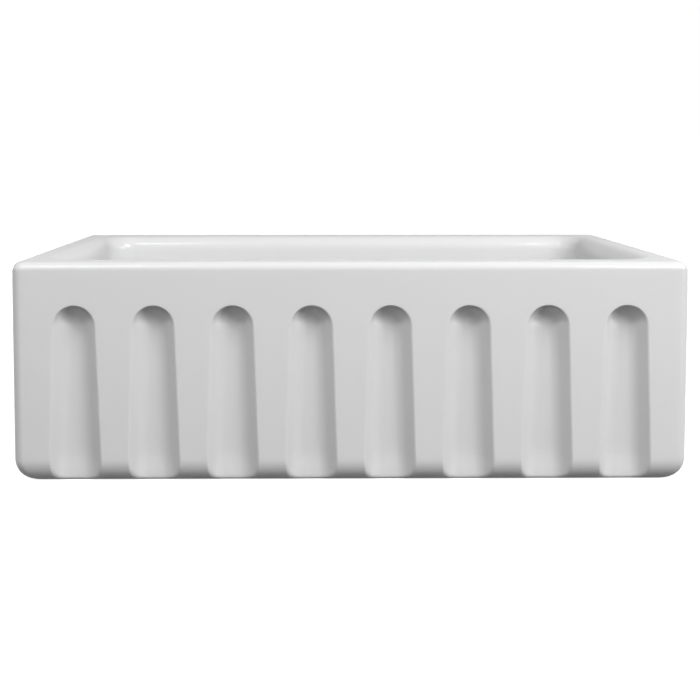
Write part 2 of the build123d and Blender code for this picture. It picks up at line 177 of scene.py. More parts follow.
@dataclass
class Skin:
    """Grids of points, in millimetres, that weld into one mesh where their edges meet."""

    name: str
    points: list[Array] = field(default_factory=list)
    faces: list[Array] = field(default_factory=list)
    marks: list[Array] = field(default_factory=list)
    count: int = 0

    def keep(self, points: Array, faces: Array, mark: float) -> None:
        """Keeps some points and the faces between them.

        Args:
            points: Array of points.
            faces: Numbers of each face's corners among these points.
            mark: Value kept at the points in the attribute "bare".
        """
        self.points.append(points)
        self.faces.append(faces + self.count)
        self.marks.append(np.full(len(points), mark))
        self.count += len(points)

    def add(self, grid: Array, closed: bool = False, mark: float = 0.0) -> None:
        """Adds one grid of points as four-sided faces.

        Args:
            grid: Array of rows x columns x 3.
            closed: True joins the last column to the first.
            mark: Value kept at the grid's points in the attribute "bare".
        """
        rows, columns = grid.shape[:2]
        index = np.arange(rows * columns).reshape(rows, columns)
        if closed:
            index = np.concatenate([index, index[:, :1]], axis=1)
        quads = np.stack([index[:-1, :-1], index[:-1, 1:], index[1:, 1:], index[1:, :-1]], axis=-1)
        self.keep(grid.reshape(-1, 3), quads.reshape(-1, 4), mark)

    def zip(self, first: Array, second: Array, mark: float = 0.0) -> None:
        """Joins two closed rings of different counts by a band of triangles.

        The points of both rings are put in order of their angle about the origin. Each one makes
        a triangle with the one before it on its own ring and the latest one on the other ring.

        Args:
            first: One ring's points.
            second: The other ring's points.
            mark: Value kept in the attribute "bare".
        """
        rings = [ring[np.argsort(np.arctan2(ring[:, 1], ring[:, 0]))] for ring in (first, second)]
        points = np.concatenate(rings)
        near, far = len(first), len(second)
        order = np.argsort(np.arctan2(points[:, 1], points[:, 0]), kind="stable")
        own = order < near
        latest, other = np.cumsum(own) - 1, np.cumsum(~own) - 1
        ahead = latest % near, other % far + near
        before = (latest - 1) % near, (other - 1) % far + near
        fans = [np.where(own, *before), np.where(own, *ahead), np.where(own, *ahead[::-1])]
        self.keep(points, np.stack(fans, -1), mark)

    def build(self, body: Body, slot: str, *nodes: str) -> Object:
        """Welds the grids, turns the faces outwards and hands the piece to its body.

        Args:
            body: Body that the piece rides on.
            slot: The record's material slot.
            nodes: CAD nodes that the piece stands for.

        Returns:
            The new object, at the origin.
        """
        mesh = bpy.data.meshes.new(self.name)
        faces = [face for part in self.faces for face in part.tolist()]
        mesh.from_pydata(np.concatenate(self.points) * MM, [], faces)
        bare = mesh.attributes.new("bare", "FLOAT", "POINT")
        bare.data.foreach_set("value", np.concatenate(self.marks).astype(np.float32))
        work = bmesh.new()
        work.from_mesh(mesh)
        bmesh.ops.remove_doubles(work, verts=work.verts, dist=WELD * MM)
        bmesh.ops.recalc_face_normals(work, faces=work.faces)
        work.to_mesh(mesh)
        work.free()
        mesh.polygons.foreach_set("use_smooth", np.ones(len(mesh.polygons), bool))
        mesh.update()
        piece = bpy.data.objects.new(self.name, mesh)
        bpy.context.scene.collection.objects.link(piece)
        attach(piece, body.value)
        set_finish(piece, slot)
        if nodes:
            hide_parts(*nodes)
        return piece


# ---------------------------------------------------------------- clay body
@dataclass
class Loop:
    """Columns of a ring round the sink: straight sides and quarter-circle corners.

    A column keeps its shares (across, along) of the straight parts and its corner direction
    turn. On a rounded rectangle of half sizes X and Y and corner R, its point is
    x = across (X - R) + R cos(turn) and y = centre + along (Y - R) + R sin(turn).
    """

    across: Array
    along: Array
    turn: Array
    front: int

    @classmethod
    def of(cls, front: Array, corner: int, side: int, back: int) -> "Loop":
        """Makes a loop, counter-clockwise from the left end of the front.

        Args:
            front: Shares, from -1 to 1, of the front's columns.
            corner: Steps in each corner.
            side: Steps along each side.
            back: Steps along the back.

        Returns:
            The loop.
        """
        bend = steps(0.0, 90.0, corner)[1:]
        run = steps(-1.0, 1.0, side)[1:]
        rear = steps(1.0, -1.0, back)[1:]
        parts = [
            (front, -1.0, -90.0),
            (1.0, -1.0, bend - 90.0),
            (1.0, run, 0.0),
            (1.0, 1.0, bend),
            (rear, 1.0, 90.0),
            (-1.0, 1.0, bend + 90.0),
            (-1.0, -run, 180.0),
            (-1.0, -1.0, bend + 180.0),
        ]
        columns = np.concatenate([np.stack(np.broadcast_arrays(*part)) for part in parts], axis=1)
        across, along, turn = columns[:, :-1]
        return cls(across, along, np.radians(turn), len(front))

    def rings(self, sizes: Triple, inset: Array, z: Array, rate: float = 1.0,
              centre: float = 0.0) -> Array:
        """Rings on rounded rectangles, one row each.

        Args:
            sizes: Half width, half depth and corner radius at no inset.
            inset: How far inside that outline each ring lies.
            z: Heights.
            rate: What the corner radius loses for each millimetre of inset.
            centre: Y of the rectangles' centre.

        Returns:
            Grid of rows x columns x 3.
        """
        inset, z = (part[:, None] for part in np.broadcast_arrays(*np.atleast_1d(inset, z)))
        half_x, half_y, corner = sizes[0] - inset, sizes[1] - inset, sizes[2] - rate * inset
        x = self.across * (half_x - corner) + corner * np.cos(self.turn)
        y = centre + self.along * (half_y - corner) + corner * np.sin(self.turn)
        return np.stack([x, y, np.broadcast_to(z, x.shape)], -1)

    def rest(self, grid: Array) -> Array:
        """Columns of a grid from the right end of the front round to its left end."""
        return np.concatenate([grid[:, self.front - 1 :], grid[:, :1]], axis=1)


# Lines of the mesh, by shares of the way: from a flute's edge out to its cell's border, over the
# flat top of the rim, and over the sole.
LAND = np.array([1.0, 0.5, 0.06])
RIM_TOP = (0.04, 0.35, 0.65, 0.96)
SOLE = (0.05, 0.5)


@dataclass
class ClayBody:
    """Glazed casting: fluted front, rolled rim, bowl, drain seat and recessed underside.

    Lengths are millimetres and angles degrees. A rate says what the corner radius in plan loses
    for each millimetre of a rounding. The last fields are for the mesh: heights of the last
    straight rows above the base edge, widths of the plain ring inside and outside the drain
    hole, counts of steps, and steps by ridge, wall and trough, and by corner, side and back.
    """

    width: float = 760.0
    depth: float = 457.0
    height: float = 250.0
    corner: float = 12.0
    rim_edge: float = 10.0
    rim_rate: float = 0.5
    base_edge: float = 20.0
    base_rise: float = 27.0
    base_rate: float = -0.1
    base_ease: float = 5.0
    bowl_half_x: float = 337.0
    bowl_half_y: float = 183.0
    bowl_centre: float = 2.5
    bowl_corner: float = 36.0
    draft: float = 1.5
    roll: float = 20.0
    foot_radius: float = 24.0
    floor_z: float = 34.0
    floor_ease: float = 14.0
    lip_z: float = 28.0
    lip_width: float = 1.6
    lip_round: float = 1.4
    fall_reach: float = 144.5
    seat_r: float = 58.5
    seat_z: float = 24.0
    seat_round: float = 0.9
    hole_r: float = 45.0
    recess_inset: float = 47.0
    recess_z: float = 10.0
    recess_corner: float = 30.0
    recess_rounds: Pair = (1.6, 3.0)
    flutes: int = 8
    pitch: float = 88.5
    flute_r: float = 25.0
    springing: float = 177.0
    flute_depth: float = 17.0
    lean: float = 2.0
    slope: float = 54.0
    crown_slope: float = 78.0
    ridge_r: float = 3.5
    crown_ridge_r: float = 0.9
    trough_r: float = 14.0
    scoop: float = 0.33
    scoop_reach: float = 50.0
    run_out: float = 0.16
    run_out_z: float = 34.0
    last_rows: Pair = (8.0, 1.0)
    hole_rings: Pair = (3.0, 6.0)
    trough_land: float = 0.7
    side_count: int = 8
    top_count: int = 10
    bend_steps: int = 18
    rim_steps: int = 12
    wall_steps: int = 12
    foot_steps: int = 16
    floor_steps: int = 22
    floor_power: float = 0.8
    ceiling_steps: int = 8
    section_steps: tuple[int, int, int] = (6, 4, 7)
    ring_steps: tuple[int, int, int] = (14, 20, 36)
    skin: Skin = field(default_factory=lambda: Skin("glazed_body"))

    @property
    def outside(self) -> Triple:
        """Half width, half depth and corner radius of the casting."""
        return self.width / 2, self.depth / 2, self.corner

    @property
    def tilt(self) -> float:
        """Lean of a flute's sides, in radians."""
        return math.radians(self.lean)

    @property
    def arch_z(self) -> float:
        """Height at which a flute's sides go over into its arch."""
        return self.springing + self.flute_r * math.sin(self.tilt)

    @property
    def top_z(self) -> float:
        """Height of the front's upper edge, where the rim's rounding starts."""
        return self.height - self.rim_edge

    def climb(self, across: Array, up: Array) -> Array:
        """Share of the way up a flute's arch, from 0 where it starts to 1 at its crown.

        It goes by the sine of the angle at the arch's centre, from that of the sides' lean.

        Args:
            across: Distance from the flute's centre line.
            up: Height above the arch's centre.

        Returns:
            The share.
        """
        low = math.sin(self.tilt)
        sine = up / np.maximum(np.hypot(across, up), TINY)
        return np.clip((sine - low) / (1.0 - low), 0.0, 1.0)

    def bends(self, climb: Array) -> tuple[Array, Array, Array, Array]:
        """Shape of a flute's section, which goes over from the sides' to the crown's.

        Args:
            climb: Share of the way up the arch.

        Returns:
            Slope in radians, ridge radius, and the distances inwards at which the ridge's and
            the wall's parts end.
        """
        tip = np.radians(self.slope + (self.crown_slope - self.slope) * climb)
        ridge_r = self.ridge_r + (self.crown_ridge_r - self.ridge_r) * climb
        wall_drop = self.flute_depth - (ridge_r + self.trough_r) * (1.0 - np.cos(tip))
        ridge_end = ridge_r * np.sin(tip)
        return tip, ridge_r, ridge_end, ridge_end + wall_drop / np.tan(tip)

    def section(self, inward: Array, climb: Array) -> Array:
        """Depth of a flute by distance inwards from its edge.

        An arc of the ridge radius tips the face over to the slope, a straight wall follows, and
        an arc of the trough radius levels it out at the flute's depth.

        Args:
            inward: Distance inwards.
            climb: Share of the way up the arch.

        Returns:
            The depth.
        """
        tip, ridge_r, ridge_end, wall_end = self.bends(climb)
        reach = self.trough_r * np.sin(tip)
        near = np.clip(inward, 0.0, ridge_end)
        far = np.clip(wall_end + reach - inward, 0.0, reach)
        ridge = ridge_r - np.sqrt(ridge_r**2 - near**2)
        wall = (np.clip(inward, ridge_end, wall_end) - ridge_end) * np.tan(tip)
        bend = self.trough_r - np.sqrt(self.trough_r**2 - far**2)
        full = np.where(inward > wall_end, self.trough_r * (1.0 - np.cos(tip)) - bend, 0.0)
        return ridge + wall + full

    def inward_steps(self, climb: float) -> Array:
        """Where the section is sampled: at even angles on its arcs and even ways on its wall.

        Args:
            climb: Share of the way up the arch.

        Returns:
            Distances from the flute's edge, in to its centre line.
        """
        tip, ridge_r, ridge_end, wall_end = self.bends(climb)
        on_ridge, on_wall, in_trough = self.section_steps
        ridge = ridge_r * np.sin(steps(0.0, tip, on_ridge))
        wall = steps(ridge_end, wall_end, on_wall)[1:-1]
        trough = wall_end + self.trough_r * (np.sin(tip) - np.sin(steps(tip, 0.0, in_trough)))
        last = trough[-1] + self.trough_land
        flat = [last, (last + self.flute_r) / 2, self.flute_r]
        return np.concatenate([ridge, wall, trough, flat])

    def front(self, x: Array, z: Array, edge: Array, centre: float) -> Array:
        """Points of the fluted front.

        The depth at (x, z) is the eased larger of the base edge's own depth and the flute's
        section at its distance inwards. That distance is the radius less the way to the arch's
        centre above the springing, and less the way to the leaning side below it. The section
        fades by the run-out towards the foot, and by the scoop towards the crown.

        Args:
            x: X of the points.
            z: Heights.
            edge: Depth of the base edge's rounding at each point.
            centre: X of the flute's centre line.

        Returns:
            The points, with the depth laid off along +Y.
        """
        across, up = np.abs(x - centre), z - self.springing
        side = across * math.cos(self.tilt) + up * math.sin(self.tilt)
        arch = np.hypot(across, up)
        inward = self.flute_r - np.where(up > across * math.tan(self.tilt), arch, side)
        fading = 1.0 - self.run_out * soft_step(-z, -self.run_out_z, 0.0)
        below = np.clip((self.springing + self.flute_r - z) / self.scoop_reach, 0.0, 1.0)
        fading = fading * (1.0 - self.scoop * (1.0 - below) ** 2)
        section = self.section(inward, self.climb(across, up)) * fading
        return np.stack([x, -self.depth / 2 + soft_max(edge, section, self.base_ease), z], -1)

    def rows(self) -> tuple[Array, Array]:
        """Rows of the front below the arches, round the base edge to the foot.

        Returns:
            Height of each row, and how deep the base edge's rounding is there.
        """
        bend = np.radians(steps(0.0, 90.0, self.bend_steps))
        second, last = (self.base_rise + above for above in self.last_rows)
        shaft = np.append(steps(self.arch_z, second, self.bend_steps), last)
        height = np.concatenate([shaft, self.base_rise * (1 - np.sin(bend))])
        edge = np.concatenate([np.zeros(len(shaft)), self.base_edge * (1 - np.cos(bend))])
        return height, edge

    def add_shaft(self, centre: float, left: Array, right: Array) -> Array:
        """Adds a flute below its arch, on columns that keep their distance from its leaning edges.

        Args:
            centre: X of the flute's centre line.
            left: Distance of the cell's left side from it, row by row.
            right: Distance of the cell's right side.

        Returns:
            X of the columns at the foot.
        """
        rows, rows_edge = self.rows()
        share = (rows - self.base_rise) / (self.arch_z - self.base_rise)
        share = np.clip(share, 0.0, 1.0)[:, None]
        radius = self.flute_r - self.inward_steps(0.0)
        half_z = rows[:, None] + (radius - self.flute_r) * math.sin(self.tilt) * share
        half_x = (radius - (half_z - self.springing) * math.sin(self.tilt)) / math.cos(self.tilt)
        half_x[:, -1] = 0.0
        side = half_x[:, :1]
        left_x = centre - side - (left[:, None] - side) * LAND
        right_x = centre + side + (right[:, None] - side) * LAND[::-1]
        x = np.concatenate([left_x, centre - half_x, centre + half_x[:, -2::-1], right_x], axis=1)
        flat_z = np.broadcast_to(rows[:, None], left_x.shape)
        z = np.concatenate([flat_z, half_z, half_z[:, -2::-1], flat_z], axis=1)
        self.skin.add(self.front(x, z, np.broadcast_to(rows_edge[:, None], x.shape), centre))
        return x[-1]

    def add_arch(self, centre: float, left: float, right: float) -> Array:
        """Adds a flute's arch, on rays from its centre out to the cell's sides and top.

        Args:
            centre: X of the flute's centre line.
            left: Distance of the cell's left side from it.
            right: Distance of the cell's right side.

        Returns:
            X of the columns at the top.
        """
        side, top = self.side_count, self.top_count
        angle = steps(self.tilt, np.pi - self.tilt, 2 * (side + top))[:, None]
        climbs = self.climb(np.cos(angle[:, 0]), np.sin(angle[:, 0]))
        spoke = self.flute_r - np.array([self.inward_steps(float(climb)) for climb in climbs])
        arch_x = centre + spoke * np.cos(angle)
        arch_z = self.springing + spoke * np.sin(angle)
        rising = steps(self.arch_z, self.top_z, side)
        border_x = np.concatenate([
            np.full(side, centre + right),
            centre + steps(right, 0.0, top),
            centre - steps(0.0, left, top)[1:],
            np.full(side, centre - left),
        ])
        border_z = np.concatenate([rising[:-1], np.full(2 * top + 1, self.top_z), rising[-2::-1]])
        x, z = (
            np.concatenate([arch[:, :1] + (border[:, None] - arch[:, :1]) * LAND, arch], axis=1)
            for border, arch in ((border_x, arch_x), (border_z, arch_z))
        )
        self.skin.add(self.front(x, z, np.zeros_like(x), centre))
        return border_x[side:-side][::-1]

    def add_front(self) -> tuple[Array, Array]:
        """Adds the fluted front, one cell for each flute.

        Returns:
            X of the columns at the top and at the foot of the front.
        """
        edge = self.rows()[1]
        end = self.width / 2 - edge - (self.corner - self.base_rate * edge)
        half = np.full(len(end), self.pitch / 2)
        tops, feet = [], []
        for place in range(self.flutes):
            centre = (place - (self.flutes - 1) / 2) * self.pitch
            left = centre + end if place == 0 else half
            right = end - centre if place == self.flutes - 1 else half
            skip = 0 if place == 0 else 1
            feet.append(self.add_shaft(centre, left, right)[skip:])
            tops.append(self.add_arch(centre, left[0], right[0])[skip:])
        return np.concatenate(tops), np.concatenate(feet)

    def tangent(self, radius: float) -> float:
        """What a rounding of this radius takes off the bowl's drafted wall."""
        return radius / math.tan(math.radians(45.0 + self.draft / 2))

    def floor_height(self, radius: Array) -> Array:
        """Height of the bowl's floor: a cone that falls to the drain, eased out at its reach.

        Over the ease the fall starts as a parabola; from there on it is straight.

        Args:
            radius: Distance from the drain's axis.

        Returns:
            The height.
        """
        run = self.fall_reach - self.seat_r
        slope = (self.floor_z - self.lip_z) / run
        fall = np.maximum(self.fall_reach - radius, 0.0)
        ease = self.floor_ease
        eased = np.where(fall < ease, fall * fall / (2 * ease), fall - ease / 2)
        return self.floor_z - slope * eased * run / (run - ease / 2)

    def add_bowl(self, loop: Loop) -> Array:
        """Adds the rim, the roll, the bowl and the drain seat, down to the recess.

        Args:
            loop: Columns that the top of the front and the other sides share.

        Returns:
            The drain hole's last ring, in the recess.
        """
        up = np.radians(steps(0.0, 90.0, self.rim_steps))
        inset, outer_z = self.rim_edge * (1 - np.cos(up)), self.top_z + self.rim_edge * np.sin(up)
        outer = loop.rings(self.outside, inset, outer_z, self.rim_rate)
        bowl = self.bowl_half_x, self.bowl_half_y, self.bowl_corner
        over = np.radians(steps(0.0, 90.0 - self.draft, self.bend_steps))
        start = tuple(size + self.tangent(self.roll) for size in bowl)
        roll_z = self.height - self.roll * (1 - np.cos(over))
        roll = loop.rings(start, self.roll * np.sin(over), roll_z, centre=self.bowl_centre)
        rim = between(outer[-1:], roll[:1], RIM_TOP)
        # Walls, then the rounded foot.
        draft = math.tan(math.radians(self.draft))
        depth, tangent = self.height - self.floor_z, self.tangent(self.foot_radius)
        fall = steps(self.height - roll[-1, 0, 2], depth - tangent, self.wall_steps)[1:-1]
        wall = loop.rings(bowl, fall * draft, self.height - fall, centre=self.bowl_centre)
        bend = np.radians(steps(self.draft, 90.0, self.foot_steps))
        inset = depth * draft + tangent - self.foot_radius * np.cos(bend)
        foot_z = self.floor_z + self.foot_radius * (1 - np.sin(bend))
        foot = loop.rings(bowl, inset, foot_z, centre=self.bowl_centre)
        # Floor, on straight lines from the foot to the drain's lip, closer together at the lip.
        lip = self.seat_r + self.lip_width
        share = steps(0.0, 1.0, self.floor_steps)[1:, None] ** self.floor_power
        x, y = to_circle(foot[-1], lip, share)
        floor = np.stack([x, y, self.floor_height(np.hypot(x, y))], -1)
        seat = rounded([
            (lip, float(self.floor_height(np.array(lip))), 0.0),
            (self.seat_r, self.lip_z - 0.2, self.lip_round),
            (self.seat_r, self.seat_z, self.seat_round),
            (self.hole_r, self.seat_z, self.lip_round),
            (self.hole_r, self.recess_z, self.lip_round),
            (self.hole_r + self.hole_rings[0], self.recess_z, 0.0),
        ], 6)[1:]
        drain = turned(seat[:, :1], seat[:, 1:], np.arctan2(foot[-1, :, 1], foot[-1, :, 0]))
        self.skin.add(np.concatenate([outer, rim, roll, wall, foot, floor, drain]), closed=True)
        return drain[-1]

    def add_underside(self, loop: Loop) -> Array:
        """Adds the foot, the recess and its ceiling, in to the drain hole.

        Args:
            loop: Columns that the foot of the front and the other sides share.

        Returns:
            The ceiling's last ring, round the drain hole.
        """
        foot = loop.rings(self.outside, self.base_edge, 0.0, self.base_rate)
        up, (low, high) = self.recess_z, self.recess_rounds
        edge = rounded([(2.0, 0.0, 0.0), (0.0, 0.0, low), (0.0, up, high), (-4.0, up, 0.0)])
        half_x, half_y = self.width / 2 - self.recess_inset, self.depth / 2 - self.recess_inset
        step = loop.rings((half_x, half_y, self.recess_corner), -edge[:, 0], edge[:, 1])
        share = steps(0.0, 1.0, self.ceiling_steps)[1:, None]
        x, y = to_circle(step[-1], self.hole_r + self.hole_rings[1], share)
        ceiling = np.stack([x, y, np.full_like(x, up)], -1)
        sole = between(foot, step[:1], SOLE)
        self.skin.add(np.concatenate([foot, sole, step, ceiling]), closed=True, mark=1.0)
        return ceiling[-1]

    def build(self) -> Object:
        """Builds the casting.

        Returns:
            The piece.
        """
        tops, feet = self.add_front()
        upper, lower = (Loop.of(part / part[-1], *self.ring_steps) for part in (tops, feet))
        rows, rows_edge = self.rows()
        down_z = np.concatenate([steps(self.top_z, self.arch_z, self.side_count)[:-1], rows])
        down_edge = np.concatenate([np.zeros(self.side_count), rows_edge])
        sides = lower.rings(self.outside, down_edge, down_z, self.base_rate)
        self.skin.add(lower.rest(sides))
        self.skin.zip(self.add_bowl(upper), self.add_underside(lower), mark=1.0)
        return self.skin.build(Body.SINK, "fireclay", "sink_body")


# ---------------------------------------------------------------- drain
@dataclass
class Turning:
    """Piece turned round the drain's axis from corners (radius, height, rounding)."""

    node: str
    slot: str
    body: Body
    corners: Corners
    count: int = 120

    def profile(self) -> tuple[Array, Array]:
        """Rounded outline: from axis to axis, or a ring that starts midway along its last run.

        Returns:
            Columns of its radii and of its heights.
        """
        corners = self.corners
        if corners[0][0] > 0.0:
            middle = ((first + last) / 2 for first, last in zip(corners[0][:2], corners[-1][:2]))
            middle = (*middle, 0.0)
            corners = [middle, *corners, middle]
        line = rounded(corners)
        return line[:, :1], line[:, 1:]

    def build(self, name: str = "", radius: Array | None = None) -> Object:
        """Turns the outline.

        Args:
            name: Name of the piece, if not the node's with an ending.
            radius: Radii, rows x columns, where they change round the axis.

        Returns:
            The piece.
        """
        plain, height = self.profile()
        skin = Skin(name or self.node + "_turned")
        grid = turned(plain if radius is None else radius, height, around(self.count))
        skin.add(grid, closed=True)
        return skin.build(self.body, self.slot, self.node)


TURNINGS = (
    Turning("rubber_gasket", "black_rubber", Body.SINK, [
        (44.2, 7.0, 0.4), (58.0, 7.0, 0.9), (58.0, 10.0, 0.9), (44.2, 10.0, 0.4)]),
    Turning("friction_washer", "fibre", Body.SINK, [
        (44.2, 6.4, 0.1), (58.0, 6.4, 0.15), (58.0, 7.0, 0.15), (44.2, 7.0, 0.1)]),
    Turning("tailpiece_washer", "white_plastic", Body.SINK, [
        (19.05, -55.6, 0.2), (22.6, -55.6, 0.4), (22.6, -54.0, 0.4), (19.05, -54.0, 0.2)], 96),
    Turning("tailpiece", "brass_chrome", Body.SINK, [
        (17.85, -157.6, 0.4), (19.05, -157.6, 0.4), (19.05, -62.2, 0.3), (18.7, -62.0, 0.3),
        (18.7, -57.2, 0.3), (22.6, -57.2, 0.6), (22.6, -55.6, 0.6), (17.85, -55.6, 0.6)], 96),
    Turning("stem_guide", "polished_steel", Body.BASKET, [
        (3.3, -18.0, 0.2), (4.98, -18.0, 0.2), (4.98, -17.0, 0.1), (8.05, -17.0, 0.1),
        (8.05, -16.0, 0.5), (5.55, -16.0, 1.0), (5.55, -6.0, 0.9), (3.3, -6.0, 0.5)], 64),
    Turning("stem", "polished_steel", Body.PLUG, [
        (0.0, -35.5, 0.0), (3.25, -35.5, 0.6), (3.25, -20.6, 0.2), (2.85, -20.4, 0.2),
        (2.85, -19.2, 0.2), (3.25, -19.0, 0.2), (3.25, -11.6, 0.2), (2.85, -11.4, 0.2),
        (2.85, -10.2, 0.2), (3.25, -10.0, 0.2), (3.25, 16.0, 0.2), (0.0, 16.0, 0.0)], 64),
    Turning("knob", "brass_chrome", Body.PLUG, [
        (0.0, 16.0, 0.0), (3.25, 16.0, 0.2), (3.25, 11.0, 0.2), (5.3, 11.0, 0.7), (5.5, 13.4, 2.2),
        (9.0, 15.4, 1.1), (9.0, 18.4, 1.3), (7.2, 20.7, 1.8), (0.0, 21.0, 0.0)], 96),
    Turning("stopper_plate", "pressed_steel", Body.PLUG, [
        (3.25, -28.0, 0.1), (19.0, -28.0, 0.3), (19.0, -27.0, 0.5), (16.0, -27.0, 1.5),
        (13.0, -27.3, 1.5), (7.0, -27.3, 1.0), (5.6, -27.0, 0.8), (3.25, -27.0, 0.2)], 96),
    Turning("stopper", "black_rubber", Body.PLUG, [
        (3.25, -32.5, 0.3), (24.2, -32.5, 0.6), (27.6, -30.35, 0.7), (26.4, -29.9, 0.8),
        (19.2, -28.0, 1.0), (3.25, -28.0, 0.2)]),
)

# The strainer's cup without its thread, the putty, and the nuts without their lugs.
CUP = [
    (43.9, 25.2, 0.4), (56.5, 25.2, 0.3), (56.3, 26.3, 0.5), (55.2, 27.4, 0.9), (45.9, 27.4, 3.0),
    (41.6, 23.2, 2.2), (41.6, 6.0, 0.9), (38.2, 6.0, 0.9), (38.2, -24.0, 2.5), (24.0, -33.0, 2.0),
    (19.3, -35.6, 1.4), (19.3, -54.0, 0.4), (23.2, -54.0, 0.6), (23.2, -37.9, 1.0),
    (40.6, -26.4, 2.5), (40.6, -9.6, 0.8), (43.1, -9.6, 0.3),
]
PUTTY = Turning("flange_seal", "putty", Body.SINK, [
    (45.6, 24.03, 0.2), (56.3, 24.03, 0.4), (56.75, 24.6, 0.5), (56.3, 25.17, 0.4),
    (45.6, 25.17, 0.2)], 240)
LOCKNUT = Turning("locknut", "cast_zinc", Body.SINK, [
    (43.95, -4.6, 0.6), (50.5, -4.6, 0.8), (53.95, -4.6, 1.2), (53.95, 5.4, 1.2), (50.5, 5.4, 0.8),
    (43.95, 5.4, 0.6)], 480)
COUPLING = Turning("coupling_nut", "brass_chrome", Body.SINK, [
    (19.35, -60.2, 0.5), (24.0, -60.2, 0.8), (27.0, -60.2, 1.2), (27.0, -39.0, 1.0),
    (24.6, -39.0, 0.6), (23.25, -39.0, 0.5), (23.25, -57.2, 0.3), (19.35, -57.2, 0.3)], 480)


@dataclass
class Strainer:
    """Flanged steel cup, its thread, the putty under its flange and the nuts below.

    A wave of the putty's edge is (height, waves round it, start in radians). Lugs are (count,
    first angle in degrees, width, reach), eased in before their sides and out after them.
    """

    thread_r: float = 43.9
    thread_low: float = -9.2
    thread_high: float = 9.0
    thread_pitch: float = 2.3
    thread_depth: float = 0.8
    putty_edge: float = 56.0
    waves: tuple[Triple, ...] = ((0.22, 5, 0.8), (0.16, 11, 2.1), (0.1, 23, 0.0))
    lug_ease: Pair = (0.7, 0.5)
    lug_depth: float = 2.6
    lock_r: float = 53.95
    lock_lugs: Lugs = (4, 45.0, 12.0, 6.0)
    coupling_r: float = 27.0
    coupling_lugs: Lugs = (8, 0.0, 6.0, 2.0)

    def cup(self) -> Object:
        """Builds the cup.

        The thread's radius is the crest's, less the depth times a triangle wave of
        height / pitch - turn / 2 pi, eased out at both ends.

        Returns:
            The piece.
        """
        rows = np.arange(self.thread_low, self.thread_high, self.thread_pitch / 8)
        corners = [*CUP, *((self.thread_r, float(z), 0.0) for z in rows)]
        piece = Turning("strainer_body", "polished_steel", Body.SINK, corners, 180)
        radius, height = piece.profile()
        wave = (height / self.thread_pitch - around(piece.count) / (2 * np.pi)) % 1.0
        wave = np.abs(wave * 2.0 - 1.0)
        held = soft_step(height, self.thread_low - 0.3, self.thread_low + 1.0)
        held = held * (1.0 - soft_step(height, self.thread_high - 2.0, self.thread_high))
        on_thread = np.abs(radius - self.thread_r) < 0.02
        return piece.build("strainer_cup", radius - self.thread_depth * wave * held * on_thread)

    def putty(self) -> Object:
        """Builds the putty: its outer edge is squeezed out unevenly, by a sum of sines.

        Returns:
            The piece.
        """
        radius, turn = PUTTY.profile()[0], around(PUTTY.count)
        uneven = sum(high * np.sin(count * turn + start) for high, count, start in self.waves)
        return PUTTY.build("putty_bead", radius + uneven * (radius > self.putty_edge))

    def nut(self, name: str, piece: Turning, outside: float, lugs: Lugs) -> Object:
        """Builds a nut with lugs: its outside stands out by the reach inside each lug's width.

        Args:
            name: Name of the piece.
            piece: The nut without lugs.
            outside: Radius of its outside.
            lugs: Count, first angle in degrees, width and reach.

        Returns:
            The piece.
        """
        count, first, width, reach = lugs
        radius = piece.profile()[0]
        sector = 2.0 * np.pi / count
        away = (around(piece.count) - math.radians(first) + sector / 2) % sector - sector / 2
        away = np.abs(away) * (outside + reach / 2)
        before, after = self.lug_ease
        window = 1.0 - soft_step(away, width / 2 - before, width / 2 + after)
        outward = soft_step(radius, outside - self.lug_depth, outside)
        return piece.build(name, radius + reach * window * outward)

    def build(self) -> list[Object]:
        """Builds the cup, the putty and both nuts.

        Returns:
            The pieces.
        """
        return [
            self.cup(),
            self.putty(),
            self.nut("lugged_locknut", LOCKNUT, self.lock_r, self.lock_lugs),
            self.nut("ribbed_coupling", COUPLING, self.coupling_r, self.coupling_lugs),
        ]


